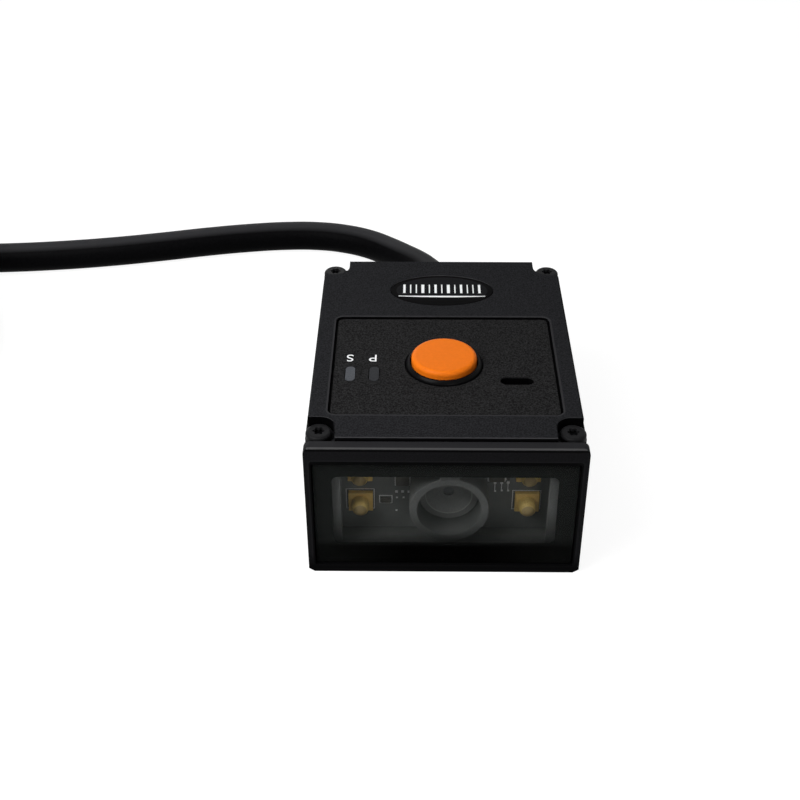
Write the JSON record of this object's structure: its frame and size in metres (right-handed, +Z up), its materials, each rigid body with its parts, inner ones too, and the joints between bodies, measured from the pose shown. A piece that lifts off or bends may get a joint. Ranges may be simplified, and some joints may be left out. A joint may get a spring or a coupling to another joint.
{
  "type": "fixed barcode reader",
  "caption": "Small box-shaped fixed barcode reader with a recessed front window over a camera and lamps, a screwed lid with an orange push button, and a cable at the rear",
  "frame": {"origin": "centre of the base under the housing, on the floor; the cable and its coil left out", "axes": "-Y out of the window, +Y towards the cable, +Z up through the lid and button, +X to the right seen from the window"},
  "size_m": [0.1942, 0.1061, 0.0258],
  "materials": {
    "housing_plastic": "fine matt moulded texture",
    "insert_brass": "knurled, turned",
    "gasket_black": "printed black mask behind the pane",
    "window_smoke": "clear polished pane",
    "cover_plastic": "fine matt moulded texture",
    "screw_black": "black oxide",
    "overlay_film": "grained film",
    "badge_gloss": "gloss black with a pale printed border",
    "collar_plastic": "satin",
    "button_orange": "satin",
    "status_pipe": "frosted",
    "power_pipe": "frosted",
    "board_black": "black solder mask",
    "screw_steel": "plated",
    "switch_plastic": "moulded",
    "panel_lamp": "clear",
    "buzzer_plastic": "moulded",
    "ribbon_film": "polyimide film",
    "frame_plastic": "moulded",
    "board_parts": "ceramic and epoxy",
    "lamp_base": "gold plated",
    "lamp_dome": "clear silicone over amber phosphor",
    "hood_plastic": "moulded",
    "barrel_metal": "black anodised",
    "lens_glass": "coated",
    "sensor_glass": "glass-covered chip",
    "chip_epoxy": "moulded epoxy",
    "socket_plastic": "moulded",
    "wire_sleeve": "insulation",
    "relief_rubber": "moulded",
    "cable_jacket": "smooth satin jacket",
    "tie_fabric": "hook and loop strap",
    "plug_plastic": "moulded",
    "plug_steel": "plated sheet",
    "plug_insulator": "moulded"
  },
  "bodies": {
    "reader": {"housing": "housing_plastic", "mount_inserts": "insert_brass", "window_gasket": "gasket_black", "front_window": "window_smoke", "top_cover": "cover_plastic", "cover_screws": "screw_black", "panel_overlay": "overlay_film", "badge_plate": "badge_gloss", "button_collar": "collar_plastic", "status_light_pipe": "status_pipe", "power_light_pipe": "power_pipe", "panel_board": "board_black", "panel_board_screws": "screw_steel", "button_switch": "switch_plastic", "panel_lamps": "panel_lamp", "buzzer": "buzzer_plastic", "panel_ribbon": "ribbon_film", "engine_frame": "frame_plastic", "light_board": "board_black", "light_board_parts": "board_parts", "light_board_screws": "screw_steel", "lamp_bases": "lamp_base", "lamp_domes": "lamp_dome", "lens_hood": "hood_plastic", "lens_barrel": "barrel_metal", "front_lens": "lens_glass", "rear_lens": "lens_glass", "sensor_board": "board_black", "image_sensor": "sensor_glass", "sensor_board_screws": "screw_steel", "sensor_ribbon": "ribbon_film", "main_board": "board_black", "main_board_screws": "screw_steel", "processor": "chip_epoxy", "memory_chip": "chip_epoxy", "main_board_parts": "board_parts", "cable_socket": "socket_plastic", "cable_plug": "socket_plastic", "cable_wires": "wire_sleeve", "strain_relief": "relief_rubber", "cord": "cable_jacket", "cord_coil": "cable_jacket", "cord_tail": "cable_jacket", "cable_tie": "tie_fabric", "plug_body": "plug_plastic", "plug_shell": "plug_steel", "plug_tongue": "plug_insulator"},
    "button": {"trigger_button": "button_orange"}
  },
  "joints": [
    {"name": "button_press", "type": "slide", "parent": "reader", "child": "button", "axis": [0, 0, -1], "range_m": [0, 0.0006], "stiffness_N_per_m": 3000}
  ]
}
